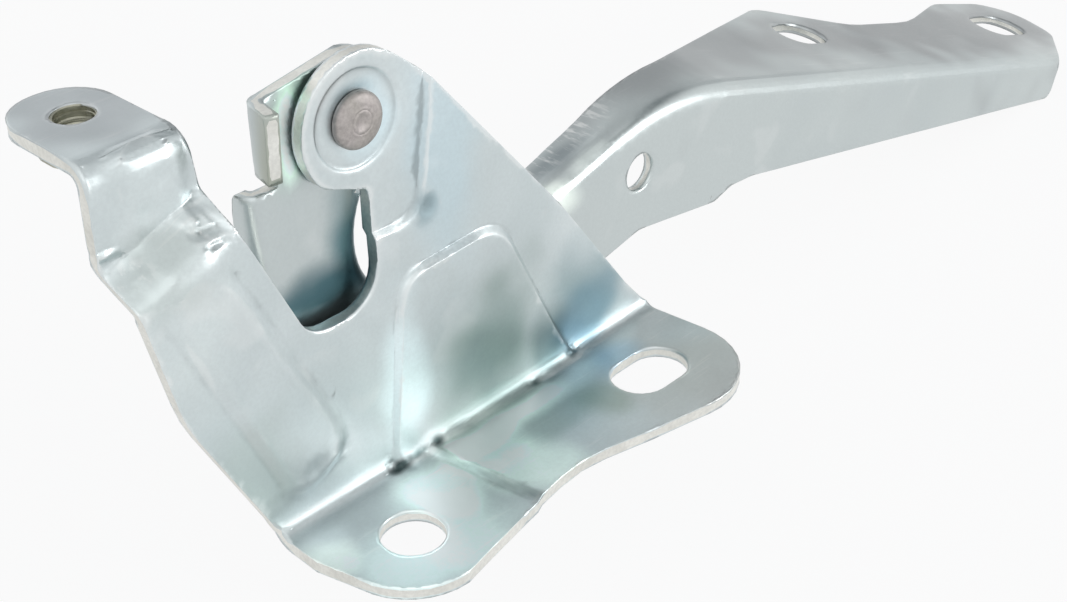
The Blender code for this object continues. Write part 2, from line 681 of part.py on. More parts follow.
def bonnet_arm(finish, parent):
    neck, crest, end = crease_path()
    crease = neck + crest + [end]
    tangents = directions(crease)
    tangents[-1] = tangents[-2] = directions([crest[-1], end])[0]
    outer_r = NECK_CENTRE[0] - ARM_LEFT
    outer = [(ARM_LEFT, RELIEF_BOTTOM - drop) for drop in OUTER_STARTS]
    outer += arc(NECK_CENTRE, outer_r, 180, OUTER_FLANGE_ANGLE, 16)
    sheet = Sheet()

    def web_place(x, z):
        return (x, ARM_FACE, z), (x, ARM_BACK, z)

    # Web with its head round the pivot, lip root, relief notch, neck and lower edge
    head = arc(PIVOT, HEAD_R, -50, 84, 16)
    run = directions(outer)[-1]
    step = OUTER_BEND_R - OUTER_TRIM
    past = (outer[-1][0] + END_RELIEF * run[0], outer[-1][1] + END_RELIEF * run[1])
    below = (past[0] + step * run[1], past[1] - step * run[0])
    lower = rounded([outer[-1], past, below, *LOWER_EDGE, LEVER_TOE, end], closed=False)[1:-1]
    notch = [(LIP_ROOT + RELIEF_DEPTH, RELIEF_TOP), (LIP_ROOT + RELIEF_DEPTH, RELIEF_BOTTOM)]
    top = [(LIP_ROOT, LIP_TOP), (LIP_ROOT, RELIEF_TOP)]
    web = outer + lower + [end] + crease[-2::-1] + head + top + notch
    sheet.flat(web, [circle(ARM_HOLE, ARM_HOLE_R, 28), circle(PIVOT, SHANK_R + BUSH_WALL + 2 * RUNNING_GAP)],
               [], web_place)

    # Lip folded towards the bracket, the stop for the opening arm
    lip = []
    for z in (LIP_TOP, RELIEF_TOP):
        row = []
        turn = math.pi / 2 - LIP_LEAN
        for k in range(BEND_SEGMENTS + 1):
            angle = turn * k / BEND_SEGMENTS
            x = LIP_ROOT - LIP_BEND_R * math.sin(angle)
            y = ARM_FACE - LIP_BEND_R * (1 - math.cos(angle))
            row.append(((x, y, z), (x - ARM_T * math.sin(angle), y + ARM_T * math.cos(angle), z)))
        front = LIP_FRONT + LIP_TAPER * (LIP_TOP - z) / (LIP_TOP - RELIEF_TOP)
        x -= (y - front) / math.tan(turn)
        row.append(((x, front, z), (x - ARM_T * math.sin(turn), front + ARM_T * math.cos(turn), z)))
        lip.append(row)
    sheet.strip(lip)

    # Outer flange folded back round the neck, running out before the lower edge
    rows = []
    for i, (point, tangent) in enumerate(zip(outer, directions(outer))):
        if i <= len(OUTER_STARTS):
            tangent = (0.0, -1.0)
        side = (tangent[1], -tangent[0])
        share = min(1.0, i / 2 + 0.2, (len(outer) - 1 - i) / 4 + 0.2)
        edge_y = ARM_FACE + OUTER_BEND_R + share * (OUTER_FLANGE_DEPTH - OUTER_BEND_R)
        rows.append(bent_row(point, side, 0.0, edge_y, OUTER_BEND_R))
    sheet.strip(rows)

    # Inner flange round the neck and over the crest, where its lean grows
    rows = []
    first_x = crest[0][0]
    for i, (point, tangent) in enumerate(zip(crease[:-1], tangents)):
        side = (-tangent[1], tangent[0])
        share = max(0.0, min(1.0, (point[0] - first_x) / (crest[-1][0] - first_x)))
        on_neck = i < len(neck)
        edge_y = NECK_FLANGE_Y if on_neck else along(FLANGE_WIDTHS, point[0])
        edge_y -= max(3 - i, 0) * NECK_FLANGE_DROP
        rows.append(bent_row(point, side, FLANGE_LEAN * share, edge_y))
    sheet.strip(rows)

    # Straight lever: its bend, then the flat bonnet flange with the tip beyond the web
    side = (-tangents[-1][1], tangents[-1][0])
    last = rows[-1]
    end_row = []
    for k, pair in enumerate(bent_row(end, side, FLANGE_LEAN, ARM_FACE + 2 * ARM_BEND_R)[:BEND_SEGMENTS + 1]):
        grow = END_SLANT * (k / BEND_SEGMENTS) ** 2
        end_row.append([(p[0] + grow * tangents[-1][0], p[1], p[2] + grow * tangents[-1][1]) for p in pair])
    sheet.strip([last[:BEND_SEGMENTS + 1], end_row])
    base = last[BEND_SEGMENTS][0]
    far = end_row[-1][0]
    n = (side[0] * math.cos(FLANGE_LEAN), -math.sin(FLANGE_LEAN), side[1] * math.cos(FLANGE_LEAN))

    def flange_place(x, y):
        z = base[2] - (n[0] * (x - base[0]) + n[1] * (y - base[1])) / n[2]
        return (x, y, z), (x - n[0] * ARM_T, y - n[1] * ARM_T, z - n[2] * ARM_T)

    outline = rounded([far[:2], *FLANGE_TIP, *FLANGE_EDGE, last[-1][0][:2]], closed=False) + [base[:2]]
    holes = [slot(FLANGE_SLOT_1, FLANGE_SLOT_1_R, FLANGE_SLOT_1_TRAVEL),
             slot(FLANGE_SLOT_2, FLANGE_SLOT_2_R, FLANGE_SLOT_2_TRAVEL)]
    sheet.flat(outline, holes, [], flange_place)
    points, faces = sheet.solid()
    centre = (PIVOT[0], ARM_FACE, PIVOT[1])
    return to_mesh("bonnet_arm", points, faces, finish, parent, centre, SHEET_SMOOTH)


# Pivot hardware and weld nut

def pivot_rivet(finish, parent):
    """Shouldered rivet: small spun head in front, wide domed head behind."""
    seat = COIN_FACE - SEAT_GAP
    top = seat - FRONT_HEAD_T
    rear = ARM_BACK + SEAT_GAP + REAR_WASHER_T + SEAT_GAP
    profile = [
        (0.0, top + HEAD_DIMPLE_DEPTH - FRONT_DOME),
        (HEAD_DIMPLE_FLOOR_R, top + HEAD_DIMPLE_DEPTH - FRONT_DOME),
        (HEAD_DIMPLE_R, top - FRONT_DOME), (FRONT_HEAD_R - HEAD_CROWN, top),
        (FRONT_HEAD_R - HEAD_EDGE * 0.4, top + HEAD_EDGE * 0.4), (FRONT_HEAD_R, top + HEAD_EDGE),
        (FRONT_HEAD_R, seat), (SHANK_R, seat), (SHANK_R, rear), (REAR_HEAD_R, rear),
        (REAR_HEAD_R, rear + REAR_HEAD_T * 0.35), (REAR_HEAD_R * 0.88, rear + REAR_HEAD_T * 0.72),
        (REAR_HEAD_R * 0.6, rear + REAR_HEAD_T * 0.93), (0.0, rear + REAR_HEAD_T),
    ]
    points, faces = turned(profile, PIVOT)
    return to_mesh("pivot_rivet", points, faces, finish, parent, (PIVOT[0], ARM_FACE, PIVOT[1]))


def ring(name, finish, parent, inner, outer, front, thickness):
    """A plain round bush or washer on the pivot axis."""
    back = front + thickness
    points, faces = turned([(inner, front), (outer, front), (outer, back), (inner, back)], PIVOT)
    return to_mesh(name, points, faces, finish, parent, (PIVOT[0], ARM_FACE, PIVOT[1]))


def weld_nut(finish, parent):
    """Hexagonal nut welded under the tab, on the axis of the tab's hole."""
    top = TAB_TOP - BRACKET_T - SEAT_GAP
    low = top - NUT_HEIGHT
    corner_r = NUT_ACROSS_FLATS / math.sqrt(3)
    count = NUT_SEGMENTS
    levels = [(low, corner_r - NUT_CHAMFER), (low + NUT_CHAMFER, corner_r), (top, corner_r)]

    def hexagon_radius(angle, limit):
        sector = (angle + math.pi / 6) % (math.pi / 3) - math.pi / 6
        return min(NUT_ACROSS_FLATS / 2 / math.cos(sector), limit)

    points = []
    for z, limit in levels:
        for i in range(count):
            angle = 2 * math.pi * i / count
            r = hexagon_radius(angle, limit)
            points.append((TAB_HOLE[0] + r * math.cos(angle), TAB_HOLE[1] + r * math.sin(angle), z))
    for z in (top, low):
        for x, y in circle(TAB_HOLE, NUT_BORE_R, count):
            points.append((x, y, z))
    faces = []
    rings = len(levels) + 2
    for k in range(rings):
        a, b = k * count, (k + 1) % rings * count
        for i in range(count):
            j = (i + 1) % count
            faces.append([a + i, a + j, b + j, b + i])
    centre = (TAB_HOLE[0], TAB_HOLE[1], top)
    return to_mesh("weld_nut", points, faces, finish, parent, centre)


def clear_scene():
    for item in list(bpy.data.objects):
        bpy.data.objects.remove(item, do_unlink=True)


def main():
    clear_scene()
    zinc = material("zinc_sheet", (0.56, 0.62, 0.64), 0.34)
    arm_zinc = material("arm_zinc_sheet", (0.55, 0.61, 0.62), 0.34)
    rivet_steel = material("rivet_steel", (0.50, 0.46, 0.45), 0.5)
    bush_bronze = material("bush_bronze", (0.52, 0.40, 0.22), 0.45)
    washer_steel = material("washer_steel", (0.48, 0.50, 0.50), 0.4)
    nut_steel = material("nut_steel", (0.42, 0.42, 0.38), 0.5)
    drawing = bpy.data.objects.new("drawing_frame", None)
    drawing.location = [-c * MM for c in ORIGIN]
    bpy.context.collection.objects.link(drawing)
    body_bracket(zinc, drawing)
    bonnet_arm(arm_zinc, drawing)
    pivot_rivet(rivet_steel, drawing)
    bush_inner = SHANK_R + RUNNING_GAP
    ring("pivot_bush", bush_bronze, drawing, bush_inner, bush_inner + BUSH_WALL, ARM_FACE, ARM_T)
    ring("front_washer", washer_steel, drawing, SHANK_R + SEAT_GAP, WASHER_R, PAD_BACK + SEAT_GAP,
         ARM_GAP - 2 * SEAT_GAP)
    ring("rear_washer", washer_steel, drawing, SHANK_R + SEAT_GAP, WASHER_R, ARM_BACK + SEAT_GAP,
         REAR_WASHER_T)
    weld_nut(nut_steel, drawing)


main()
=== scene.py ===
"""Looks of the bonnet hinge: zinc plated pressings, rivet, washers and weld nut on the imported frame."""

import math

import bmesh
import bpy
from mathutils import Matrix, Vector, noise


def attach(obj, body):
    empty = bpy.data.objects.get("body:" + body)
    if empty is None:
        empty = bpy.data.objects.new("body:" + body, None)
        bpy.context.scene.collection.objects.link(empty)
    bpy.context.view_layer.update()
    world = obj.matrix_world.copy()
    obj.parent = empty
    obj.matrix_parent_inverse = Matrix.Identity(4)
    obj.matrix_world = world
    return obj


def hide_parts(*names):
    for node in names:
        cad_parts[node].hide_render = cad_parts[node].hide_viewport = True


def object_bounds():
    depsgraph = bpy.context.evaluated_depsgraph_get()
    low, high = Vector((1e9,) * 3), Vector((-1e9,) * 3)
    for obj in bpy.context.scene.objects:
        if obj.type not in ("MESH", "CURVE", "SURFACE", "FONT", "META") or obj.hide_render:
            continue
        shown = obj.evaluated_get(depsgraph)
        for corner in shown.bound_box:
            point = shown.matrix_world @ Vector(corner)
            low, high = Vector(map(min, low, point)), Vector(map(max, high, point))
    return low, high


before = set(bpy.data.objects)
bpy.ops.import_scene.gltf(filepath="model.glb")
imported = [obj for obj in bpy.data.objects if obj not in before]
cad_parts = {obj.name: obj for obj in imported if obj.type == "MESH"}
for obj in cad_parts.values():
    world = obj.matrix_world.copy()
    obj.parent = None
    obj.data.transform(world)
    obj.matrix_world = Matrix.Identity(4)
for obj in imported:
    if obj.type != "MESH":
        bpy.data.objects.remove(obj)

MM = 0.001
CAD_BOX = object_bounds()


# Sheet metal

RIM_ANGLE = math.radians(38)


def rim_edges(work):
    """The cut edges of a pressing, where two faces meet sharply."""
    return [e for e in work.edges if len(e.link_faces) == 2 and e.calc_face_angle(0.0) > RIM_ANGLE]


def mark_walls(work, thickness):
    """Gives the cut edges between a sheet's two faces material 1: narrow bands as wide as the sheet is thick."""
    sharp = set(rim_edges(work))
    waiting = set(work.faces)
    while waiting:
        band = {waiting.pop()}
        queue = list(band)
        while queue:
            for edge in queue.pop().edges:
                if edge in sharp:
                    continue
                for face in edge.link_faces:
                    if face in waiting:
                        waiting.discard(face)
                        band.add(face)
                        queue.append(face)
        area = sum(f.calc_area() for f in band)
        border = sum(e.calc_length() for f in band for e in f.edges if e in sharp)
        if border and 0.6 * thickness < 2 * area / border < 1.5 * thickness:
            for face in band:
                face.material_index = 1


def split_long(work, longest, zone=None):
    """Halves long edges, the longest of each triangle first, in a zone (middle, reach) or everywhere."""
    for _ in range(14):
        long_edges = [(edge.calc_length(), -i, edge) for i, edge in enumerate(work.edges)
                      if zone is None or (edge.verts[0].co / MM - Vector(zone[0])).length < zone[1]]
        long_edges = sorted([item for item in long_edges if item[0] > longest], reverse=True)
        taken, halved = set(), []
        for _, _, edge in long_edges:
            if taken.isdisjoint(edge.link_faces):
                halved.append(edge)
                taken.update(edge.link_faces)
        if not halved:
            return
        made = bmesh.ops.subdivide_edges(work, edges=halved, cuts=1)
        for middle in made["geom_inner"]:
            if isinstance(middle, bmesh.types.BMVert):
                for face in list(middle.link_faces):
                    if len(face.verts) == 4:
                        corner = next(loop for loop in face.loops if loop.vert == middle)
                        bmesh.utils.face_split(face, middle, corner.link_loop_next.link_loop_next.vert)


def worked_sheet(node, name, thickness, longest, rim, settle, shape, show_relief_shade, stains_and_shading, fine_zones=()):
    """A pressing from its CAD node: rims broken, bends and embosses eased, then hand-worked marks."""
    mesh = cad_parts[node].data.copy()
    mesh.name = name
    work = bmesh.new()
    work.from_mesh(mesh)
    bmesh.ops.remove_doubles(work, verts=work.verts, dist=0.002 * MM)
    for face in work.faces:
        face.material_index = 0
    mark_walls(work, thickness)
    bmesh.ops.dissolve_limit(work, angle_limit=math.radians(0.3), verts=work.verts, edges=work.edges,
                             delimit={"MATERIAL"})
    bmesh.ops.bevel(work, geom=rim_edges(work), offset=rim, offset_type="OFFSET", segments=2, profile=0.5,
                    affect="EDGES", clamp_overlap=True)
    bmesh.ops.triangulate(work, faces=work.faces)
    split_long(work, longest)
    bmesh.ops.beautify_fill(work, faces=work.faces, edges=[e for e in work.edges if e.calc_face_angle(1.0) < 0.01])
    held = {v for e in work.edges if e.calc_face_angle(0.0) > math.radians(24) for v in e.verts}
    free = [v for v in work.verts if v not in held]
    for _ in range(settle):
        bmesh.ops.smooth_vert(work, verts=free, factor=0.5, use_axis_x=True, use_axis_y=True, use_axis_z=True)
    for zone in fine_zones:
        split_long(work, 0.55 * MM, zone)
    for v in work.verts:
        v.co += shape(v.co / MM) * MM
    mark_relief_shade(work, show_relief_shade)
    mark_stains_and_shading(work, stains_and_shading)
    mesh.materials.clear()
    work.to_mesh(mesh)
    work.free()
    mesh.shade_smooth()
    mesh.set_sharp_from_angle(angle=math.radians(40))
    piece = bpy.data.objects.new(name, mesh)
    bpy.context.collection.objects.link(piece)
    return piece


def mark_relief_shade(work, show):
    """Writes how much each place bulges (above 0.5) or dips (below 0.5), for painted shade in the dips and paler
    plating on the bulges, partly wear and partly painted highlight.
    """
    layer = work.verts.layers.float.new("relief_shading")
    work.normal_update()
    work.verts.index_update()
    bends, around = [], []
    for v in work.verts:
        near = [e.other_vert(v) for e in v.link_edges]
        arms = [w.co - v.co for w in near]
        reach = sum(arm.length for arm in arms)
        around.append([w.index for w in near])
        bends.append(-2.0 * sum(arm.dot(v.normal) / max(arm.length, 1e-9) for arm in arms) / reach * MM)
    for _ in range(3):
        bends = [0.4 * bend + 0.6 * sum([bends[i] for i in near]) / len(near) for bend, near in zip(bends, around)]
    for v, bend in zip(work.verts, bends):
        v[layer] = 0.5 + max(-0.5, min(0.5, bend * show(v.co / MM)))


def mark_stains_and_shading(work, stains_and_shading):
    """Writes a tint of oval zones with soft frayed borders, given in millimetres: plating stains, and painted shade,
    highlights and reflections.
    """
    layer = work.verts.layers.float_color.new("stain_and_shade")
    zones = [(tint, centre, reach, [1.25 * r for r in reach]) for tint, centre, reach in stains_and_shading]
    for v in work.verts:
        x, y, z = v.co / MM
        red = green = blue = 1.0
        fray = None
        for tint, (cx, cy, cz), (rx, ry, rz), (far_x, far_y, far_z) in zones:
            if abs(x - cx) > far_x or abs(z - cz) > far_z or abs(y - cy) > far_y:
                continue
            if fray is None:
                fray = noise.noise_vector(Vector((x, y, z)) * 0.11) * 0.3
            away = math.sqrt(((x - cx) / rx + fray.x) ** 2 + ((y - cy) / ry + fray.y) ** 2
                             + ((z - cz) / rz + fray.z) ** 2)
            share = max(0.0, min(1.0, (1.0 - away) / 0.7))
            share *= share * (3.0 - 2.0 * share)
            red *= 1.0 + share * (tint[0] - 1.0)
            green *= 1.0 + share * (tint[1] - 1.0)
            blue *= 1.0 + share * (tint[2] - 1.0)
        v[layer] = (red, green, blue, 1.0)


def share_of(place, centre, reach):
    """How much of a mark a place gets: all in its middle, none from its reach on."""
    away = (place - Vector(centre)).length / reach
    return (1.0 - away * away) ** 2 if away < 1.0 else 0.0


# Places where the press tool pinched or dented the bracket: middle, reach and push, in millimetres
FOLD_POCKETS = (
    ((9.9, 5.0, 2.8), 2.6, (0.0, 0.5, -0.5)),
    ((12.6, 4.2, 2.2), 2.4, (0.0, 0.25, -0.4)),
    ((20.3, 4.4, 2.2), 3.0, (0.0, 0.5, -0.5)),
    ((25.6, 5.2, 3.0), 3.4, (0.0, -0.2, 0.2)),
    ((46.5, 4.6, 2.4), 2.6, (0.0, 0.45, -0.5)),
    ((49.5, 3.4, 1.4), 3.2, (0.0, 0.2, -0.45)),
    ((57.8, 5.8, 3.6), 2.4, (0.0, 0.45, -0.4)),
)
WEB_DENTS = (
    ((22.9, 6.5, 52.3), 3.0, (0.0, 0.4, 0.0)),
    ((-7.2, 6.0, 12.0), 4.0, (0.0, 0.35, 0.0)),
    ((-33.5, 12.0, 72.5), 2.4, (0.0, 0.22, 0.0)),
    ((-28.4, 12.0, 70.0), 3.0, (0.0, 0.3, 0.0)),
    ((-24.5, 12.5, 75.0), 2.6, (0.0, 0.2, 0.0)),
)
JOGGLE_CRUMPLES = (((-37.0, 9.5, 63.0), 4.5, 0.2), ((-21.0, 11.0, 65.0), 4.5, 0.35))
# Creases of the joggle beside its bead: from x, to x, height, half width and push towards the rear
JOGGLE_CREASES = (
    (-43.0, -33.6, 65.7, 1.0, -0.35),
    (-25.2, -17.5, 67.3, 1.1, -0.4),
    (-24.6, -17.5, 65.4, 0.9, 0.6),
    (-23.4, -18.0, 63.7, 0.8, 0.35),
)


FINE_ZONES = (((-37.5, 10.0, 65.0), 6.0), ((-21.0, 11.0, 65.5), 6.0), ((11.0, 4.6, 2.6), 3.6), ((20.3, 4.4, 2.6), 3.6),
              ((47.0, 4.6, 2.6), 4.0), ((57.6, 5.4, 3.4), 3.0))


def bracket_marks(place):
    """Pockets along the fold, dents in the web and crumples at the joggle."""
    move = Vector()
    for centre, reach, push in FOLD_POCKETS + WEB_DENTS:
        move += Vector(push) * share_of(place, centre, reach)
    for centre, reach, depth in JOGGLE_CRUMPLES:
        share = share_of(place, centre, reach)
        if share:
            flat = Vector((place.x, 8.0, place.z))
            move.y += depth * share * noise.noise(flat * 0.55) + 0.4 * depth * share * noise.noise(flat * 1.3)
    for left, right, height, half, push in JOGGLE_CREASES:
        across = (place.z - height) / half
        if abs(across) < 1.0 and left < place.x < right:
            ends = min(1.0, (place.x - left) / 1.6, (right - place.x) / 1.6)
            ragged = 1.0 + 0.7 * noise.noise(Vector((place.x, 4.0, height)) * 0.7)
            move.y += push * ends * ragged * (1.0 - across * across) ** 2
    move.y += 0.05 * noise.noise(Vector((place.x, 0.0, place.z)) * 0.09)
    return move


def arm_marks(place):
    """The slight waviness of the long lever and the puckers where its flange was stretched."""
    share = share_of(place, (70.0, 15.5, 47.5), 20.0)
    move = Vector((0.0, 0.06 * noise.noise(Vector((place.x, 3.0, place.z)) * 0.06), 0.0))
    if share:
        along = place.x * 0.9 + place.z * 0.45
        move.z += 0.16 * share * noise.noise(Vector((along * 0.55, place.y * 0.12, 1.0)))
    return move


def bracket_relief_shade(place):
    """Embosses of the web and leg draw thin lines: painted shade in their dips and paler crowns, partly painted
    highlight; the fold doesn't.
    """
    show = 1.7 * max(0.0, min(1.0, (place.z - 6.0) / 4.0))
    return 0.3 * show if place.x < -16.0 and place.z > 58.0 else show


def arm_relief_shade(place):
    """The arm's wide bends get no painted shade or paler crowns anywhere."""
    return 0.0


# Pivot hardware

def axis_of(node):
    """Middle of a round CAD node across its axis, and its front and back along Y."""
    places = [v.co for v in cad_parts[node].data.vertices]
    spans = [(min(p[i] for p in places), max(p[i] for p in places)) for i in range(3)]
    return (sum(spans[0]) / 2, sum(spans[2]) / 2), spans[1][0], spans[1][1]


def turned_piece(name, axis, profile, steps):
    """A piece turned on a lathe: profile of (radius, depth) in millimetres from front to back."""
    work = bmesh.new()
    rings = []
    for radius, depth in profile:
        count = 1 if radius == 0 else steps
        rings.append([work.verts.new((axis[0] + radius * MM * math.cos(2 * math.pi * k / steps), depth * MM,
                                      axis[1] + radius * MM * math.sin(2 * math.pi * k / steps)))
                      for k in range(count)])
    loop = list(zip(rings, rings[1:]))
    if profile[0][0] > 0:
        loop.append((rings[-1], rings[0]))
    for a, b in loop:
        for k in range(steps):
            corners = [a[k % len(a)], a[(k + 1) % len(a)], b[(k + 1) % len(b)], b[k % len(b)]]
            work.faces.new(list(dict.fromkeys(corners)))
    bmesh.ops.recalc_face_normals(work, faces=work.faces)
    mesh = bpy.data.meshes.new(name)
    work.to_mesh(mesh)
    work.free()
    mesh.shade_smooth()
    mesh.set_sharp_from_angle(angle=math.radians(35))
    piece = bpy.data.objects.new(name, mesh)
    bpy.context.collection.objects.link(piece)
    return piece


def rounded_ring(name, node, edge, steps):
    """A washer or bush from its CAD node, with its four rims broken."""
    axis, front, back = axis_of(node)
    reaches = [math.hypot(v.co.x - axis[0], v.co.z - axis[1]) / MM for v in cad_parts[node].data.vertices]
    inner, outer = min(reaches), max(reaches)
    front, back = front / MM, back / MM
    return turned_piece(name, axis, [
        (inner + edge, front), (outer - edge, front), (outer - edge * 0.3, front + edge * 0.3),
        (outer, front + edge), (outer, back - edge), (outer - edge * 0.3, back - edge * 0.3),
        (outer - edge, back), (inner + edge, back), (inner, back - edge), (inner, front + edge)], steps)


def spun_rivet():
    """The rivet: matte spun head with tool rings and a dimple in front, shank, domed rear head."""
    axis, front, back = axis_of("pivot_rivet")
    front, back = front / MM, back / MM
    seat = front + 1.95
    rear = back - 3.4
    head = [(0.0, front + 0.36), (0.45, front + 0.35), (0.85, front + 0.28), (1.2, front + 0.16), (1.5, front + 0.05),
            (1.75, front + 0.01), (1.95, front + 0.05), (2.1, front + 0.12), (2.25, front + 0.07),
            (2.55, front + 0.06), (2.75, front + 0.14), (2.95, front + 0.1), (3.4, front + 0.16), (3.9, front + 0.25),
            (4.3, front + 0.38), (4.6, front + 0.52), (4.82, front + 0.7), (4.98, front + 0.93),
            (5.06, front + 1.2), (5.08, seat - 0.12), (4.98, seat), (4.0, seat), (4.0, rear), (7.3, rear),
            (7.46, rear + 0.2)]
    dome = [(7.48 * math.cos(a), rear + 0.9 + 2.48 * math.sin(a))
            for a in (math.radians(d) for d in (0, 12, 24, 36, 48, 60, 72, 81))]
    return turned_piece("spun_rivet", axis, head + dome + [(0.0, back - 0.02)], 96)


def thread_rule():
    """Node tree for a screw thread: a ridge that climbs in a helix, with sizes as named inputs."""
    tree = bpy.data.node_groups.new("nut_thread", "GeometryNodeTree")
    for label, kind in (("Bore Radius", "NodeSocketFloat"), ("Turns", "NodeSocketFloat"),
                        ("Height", "NodeSocketFloat"), ("Ridge Radius", "NodeSocketFloat"),
                        ("Foot", "NodeSocketVector"), ("Finish", "NodeSocketMaterial")):
        tree.interface.new_socket(name=label, in_out="INPUT", socket_type=kind)
    tree.interface.new_socket(name="Geometry", in_out="OUTPUT", socket_type="NodeSocketGeometry")
    start, end = tree.nodes.new("NodeGroupInput"), tree.nodes.new("NodeGroupOutput")
    helix = tree.nodes.new("GeometryNodeCurveSpiral")
    helix.inputs["Resolution"].default_value = 40
    ridge = tree.nodes.new("GeometryNodeCurvePrimitiveCircle")
    ridge.inputs["Resolution"].default_value = 6
    sweep = tree.nodes.new("GeometryNodeCurveToMesh")
    sweep.inputs["Fill Caps"].default_value = True
    lift = tree.nodes.new("GeometryNodeTransform")
    real = tree.nodes.new("GeometryNodeRealizeInstances")
    coat = tree.nodes.new("GeometryNodeSetMaterial")
    link = tree.links.new
    link(start.outputs["Bore Radius"], helix.inputs["Start Radius"])
    link(start.outputs["Bore Radius"], helix.inputs["End Radius"])
    link(start.outputs["Turns"], helix.inputs["Rotations"])
    link(start.outputs["Height"], helix.inputs["Height"])
    link(start.outputs["Ridge Radius"], ridge.inputs["Radius"])
    link(helix.outputs["Curve"], sweep.inputs["Curve"])
    link(ridge.outputs["Curve"], sweep.inputs["Profile Curve"])
    link(sweep.outputs["Mesh"], lift.inputs["Geometry"])
    link(start.outputs["Foot"], lift.inputs["Translation"])
    link(lift.outputs["Geometry"], real.inputs["Geometry"])
    link(real.outputs["Geometry"], coat.inputs["Geometry"])
    link(start.outputs["Finish"], coat.inputs["Material"])
    link(coat.outputs["Geometry"], end.inputs["Geometry"])
    return tree


def threaded_nut(finish):
    """The weld nut: its CAD body with broken rims, and a thread in the bore."""
    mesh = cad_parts["weld_nut"].data.copy()
    work = bmesh.new()
    work.from_mesh(mesh)
    bmesh.ops.remove_doubles(work, verts=work.verts, dist=0.002 * MM)
    bmesh.ops.dissolve_limit(work, angle_limit=math.radians(0.5), verts=work.verts, edges=work.edges)
    bmesh.ops.bevel(work, geom=rim_edges(work), offset=0.18 * MM, offset_type="OFFSET", segments=2, profile=0.5,
                    affect="EDGES", clamp_overlap=True)
    middle = [sum(v.co[i] for v in work.verts) / len(work.verts) for i in range(2)]
    low, high = min(v.co.z for v in work.verts), max(v.co.z for v in work.verts)

    holder = bpy.data.objects.new("nut_thread", bpy.data.meshes.new("nut_thread"))
    bpy.context.collection.objects.link(holder)
    cutter = holder.modifiers.new("thread", "NODES")
    cutter.node_group = thread_rule()
    names = {item.name: item.identifier for item in cutter.node_group.interface.items_tree}
    height = high - low + 2.1 * MM
    for label, value in (("Bore Radius", 3.48 * MM), ("Turns", height / (1.0 * MM)), ("Height", height),
                         ("Ridge Radius", 0.3 * MM), ("Foot", (*middle, low + 0.25 * MM)), ("Finish", finish)):
        cutter[names[label]] = value
    made = bpy.data.meshes.new_from_object(holder.evaluated_get(bpy.context.evaluated_depsgraph_get()))
    bpy.data.objects.remove(holder)
    work.from_mesh(made)
    pilot = turned_piece("nut_pilot", (0.0, 0.0), [(3.42, high / MM), (3.64, high / MM), (3.64, high / MM + 2.3),
                                                   (3.42, high / MM + 2.3)], 48)
    pilot.data.transform(Matrix(((1, 0, 0, middle[0]), (0, 0, -1, middle[1]), (0, 1, 0, 0), (0, 0, 0, 1))))
    work.from_mesh(pilot.data)
    bpy.data.objects.remove(pilot)
    mesh.materials.clear()
    work.to_mesh(mesh)
    work.free()
    mesh.name = "threaded_nut"
    mesh.shade_smooth()
    mesh.set_sharp_from_angle(angle=math.radians(35))
    piece = bpy.data.objects.new("threaded_nut", mesh)
    bpy.context.collection.objects.link(piece)
    return piece


# Shader effects that several finishes share

def group(name, inputs, outputs):
    """An empty shader node group with its named sockets."""
    tree = bpy.data.node_groups.new(name, "ShaderNodeTree")
    for label, kind, value in inputs:
        socket = tree.interface.new_socket(name=label, in_out="INPUT", socket_type=kind)
        socket.default_value = value
    for label, kind in outputs:
        tree.interface.new_socket(name=label, in_out="OUTPUT", socket_type=kind)
    return tree, tree.nodes.new("NodeGroupInput"), tree.nodes.new("NodeGroupOutput")


def node(tree, kind, values=None, **settings):
    """One node with its settings and unlinked input values."""
    made = tree.nodes.new(kind)
    for key, value in settings.items():
        setattr(made, key, value)
    for key, value in (values or {}).items():
        made.inputs[key].default_value = value
    return made


def ramp(tree, source, stops, interpolation="LINEAR"):
    """A colour ramp on a value, with (place, grey or colour) stops."""
    made = tree.nodes.new("ShaderNodeValToRGB")
    made.color_ramp.interpolation = interpolation
    while len(made.color_ramp.elements) < len(stops):
        made.color_ramp.elements.new(0.5)
    for element, (place, colour) in zip(made.color_ramp.elements, stops):
        element.position = place
        element.color = (*colour, 1.0) if isinstance(colour, tuple) else (colour, colour, colour, 1.0)
    tree.links.new(source, made.inputs[0])
    return made.outputs[0]


def mixed(tree, share, low, high, blend="MIX"):
    """A colour mix; share, low and high are sockets or plain values."""
    made = node(tree, "ShaderNodeMix", data_type="RGBA", blend_type=blend)
    for key, value in ((0, share), (6, low), (7, high)):
        if isinstance(value, bpy.types.NodeSocket):
            tree.links.new(value, made.inputs[key])
        else:
            made.inputs[key].default_value = (*value, 1.0) if isinstance(value, tuple) else value
    return made.outputs[2]


def maths(tree, operation, *terms, clamp=False):
    """A math node on sockets or numbers."""
    made = node(tree, "ShaderNodeMath", operation=operation, use_clamp=clamp)
    for i, term in enumerate(terms):
        if isinstance(term, bpy.types.NodeSocket):
            tree.links.new(term, made.inputs[i])
        else:
            made.inputs[i].default_value = term
    return made.outputs[0]


